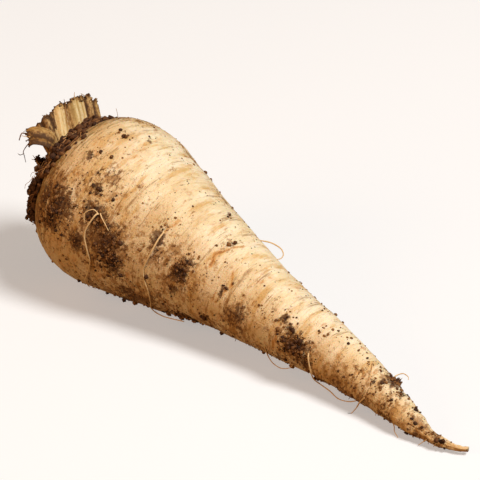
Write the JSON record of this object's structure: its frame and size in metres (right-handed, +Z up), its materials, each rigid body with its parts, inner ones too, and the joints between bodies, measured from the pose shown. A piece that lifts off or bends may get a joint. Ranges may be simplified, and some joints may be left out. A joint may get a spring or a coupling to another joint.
{
  "type": "parsnip",
  "caption": "Freshly dug parsnip lying on its side: broad shoulder, long taper to a hooked tail, cut leaf stalks, rootlets and clinging soil.",
  "frame": {"origin": "bottom centre of the box round the whole parsnip, on the surface that it lies on", "axes": "+X from the crown to the tail along the root, +Z up, -Y the near side, where most of the soil clods and rootlets are"},
  "size_m": [0.1964, 0.064, 0.0631],
  "materials": {
    "parsnip_skin": "satin",
    "cut_leaf_stalk": "matte",
    "garden_soil": "matte",
    "rootlet_fibre": "matte"
  },
  "bodies": {
    "root": {"taproot": "parsnip_skin", "leaf_stalk_top_right": "cut_leaf_stalk", "leaf_stalk_top_left": "cut_leaf_stalk", "leaf_stalk_brown": "cut_leaf_stalk", "leaf_stalk_curled": "cut_leaf_stalk", "leaf_stalk_rib": "cut_leaf_stalk", "leaf_stalk_far": "cut_leaf_stalk", "leaf_stalk_far_low": "cut_leaf_stalk", "leaf_stalk_near": "cut_leaf_stalk", "leaf_stalk_low_near": "cut_leaf_stalk", "leaf_stalk_low": "cut_leaf_stalk", "leaf_stalk_low_far": "cut_leaf_stalk", "leaf_stalk_inner": "cut_leaf_stalk", "leaf_stalk_inner_far": "cut_leaf_stalk", "leaf_stalk_heart": "cut_leaf_stalk", "soil_collar": "garden_soil", "soil_clod_shoulder": "garden_soil", "soil_clod_belly": "garden_soil", "soil_clod_crown": "garden_soil", "soil_clod_middle": "garden_soil", "soil_clod_large": "garden_soil", "soil_clod_lower": "garden_soil", "soil_clod_upper": "garden_soil", "soil_clod_top": "garden_soil", "soil_clod_tail": "garden_soil", "soil_clod_back": "garden_soil", "soil_clod_back_low": "garden_soil", "rootlet_shoulder": "rootlet_fibre", "rootlet_middle": "rootlet_fibre", "rootlet_short": "rootlet_fibre", "rootlet_large_clod": "rootlet_fibre", "rootlet_upper": "rootlet_fibre", "rootlet_tail": "rootlet_fibre", "rootlet_back": "rootlet_fibre", "rootlet_back_tail": "rootlet_fibre"}
  },
  "joints": []
}
